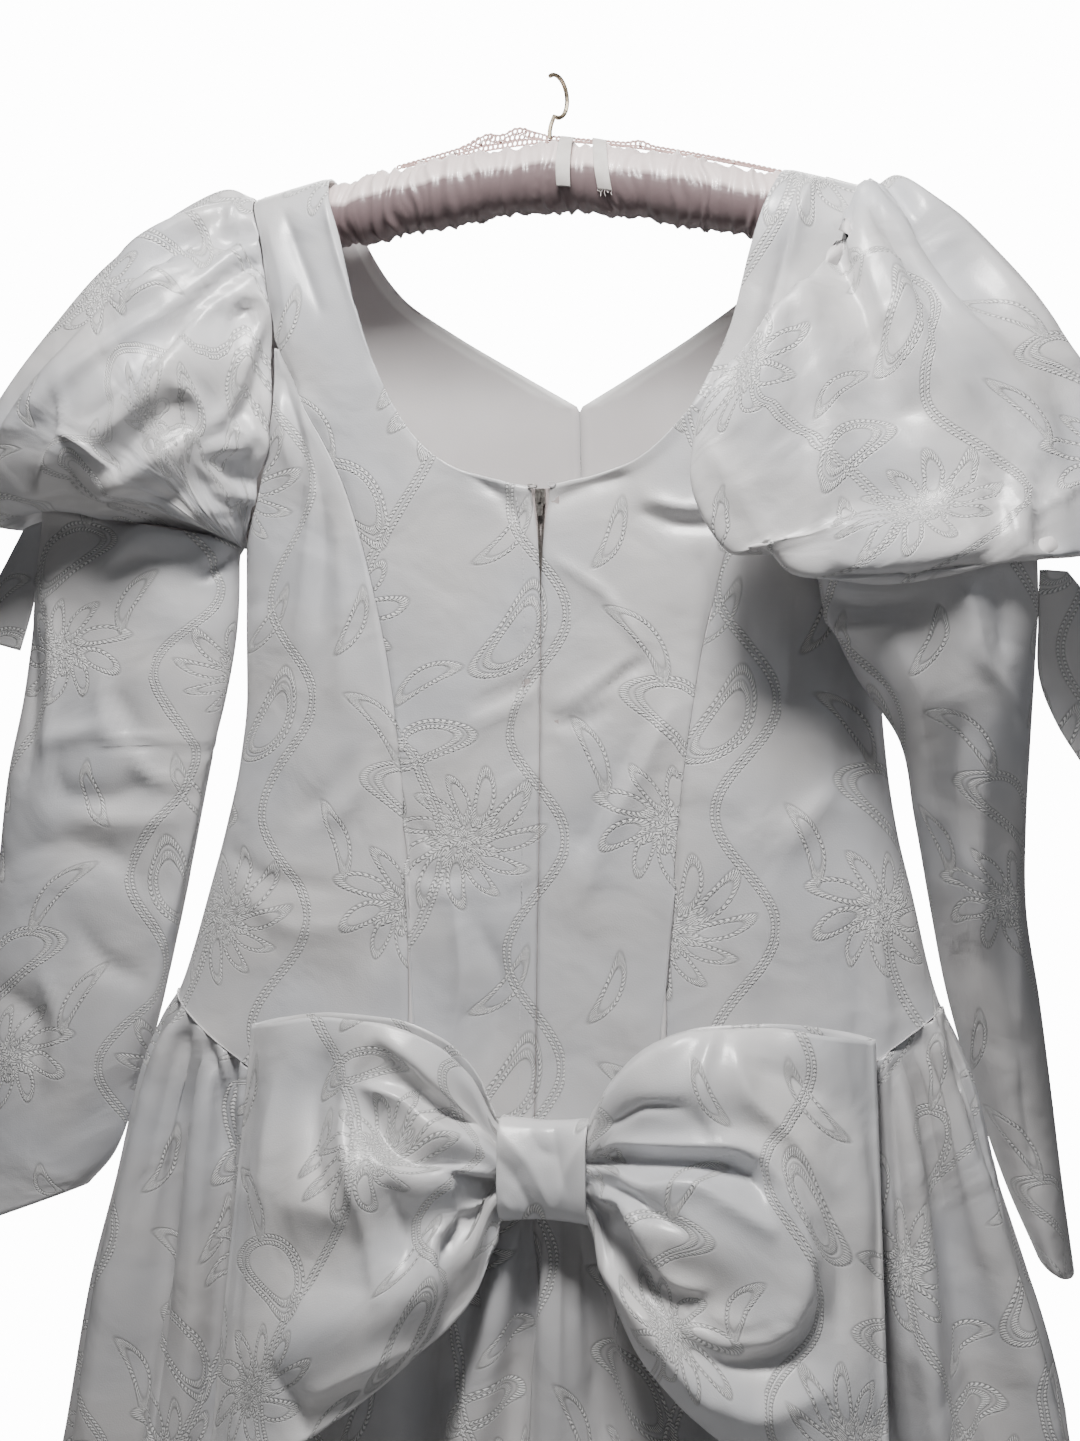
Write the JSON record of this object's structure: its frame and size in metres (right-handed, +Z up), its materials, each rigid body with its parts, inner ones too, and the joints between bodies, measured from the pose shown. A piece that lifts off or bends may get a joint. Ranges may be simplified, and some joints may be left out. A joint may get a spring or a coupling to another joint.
{
  "type": "wedding gown on a padded hanger",
  "caption": "Floor-length white satin gown hung on a padded hanger: scooped back with zip, gathered puff sleeves, full gathered skirt and a large bow at the back waist.",
  "frame": {"origin": "the inside top of the hanger hook's bend, where a rail carries it", "axes": "+Z up, the gown's back faces +Y and its front -Y, the wearer's left is +X"},
  "size_m": [0.956, 0.4402, 1.5429],
  "materials": {
    "dress_satin": "white satin jacquard, tone on tone flowers",
    "zip_tape": "woven tape with a coil zip",
    "zip_metal": "small grey metal slider and pull",
    "hanger_satin": "dusty pink satin over padding",
    "hook_wire": "dark worn brass wire",
    "crochet_edging": "open crochet with small pearls",
    "ribbon": "narrow satin ribbon"
  },
  "bodies": {
    "gown": {"back_centre_left": "dress_satin", "back_centre_right": "dress_satin", "back_side_left": "dress_satin", "back_side_right": "dress_satin", "front_centre_left": "dress_satin", "front_centre_right": "dress_satin", "front_side_left": "dress_satin", "front_side_right": "dress_satin", "sleeve_puff_left": "dress_satin", "sleeve_puff_right": "dress_satin", "sleeve_lower_left": "dress_satin", "sleeve_lower_right": "dress_satin", "sleeve_tail_left": "dress_satin", "sleeve_tail_right": "dress_satin", "skirt_back_left": "dress_satin", "skirt_back_right": "dress_satin", "skirt_front": "dress_satin", "bow_loop_left": "dress_satin", "bow_loop_right": "dress_satin", "bow_knot": "dress_satin", "zip_tape": "zip_tape", "zip_slider": "zip_metal", "hanger_pad": "hanger_satin", "hanger_hook": "hook_wire", "hanger_lace": "crochet_edging", "hanger_ribbon_1": "ribbon", "hanger_ribbon_2": "ribbon"},
    "pull": {"zip_pull": "zip_metal"}
  },
  "joints": [
    {"name": "zip_pull_swing", "type": "hinge", "parent": "gown", "child": "pull", "pos_m": [0, 0.05285, -0.284], "axis": [1, 0, 0], "range_deg": [0, 170]}
  ]
}
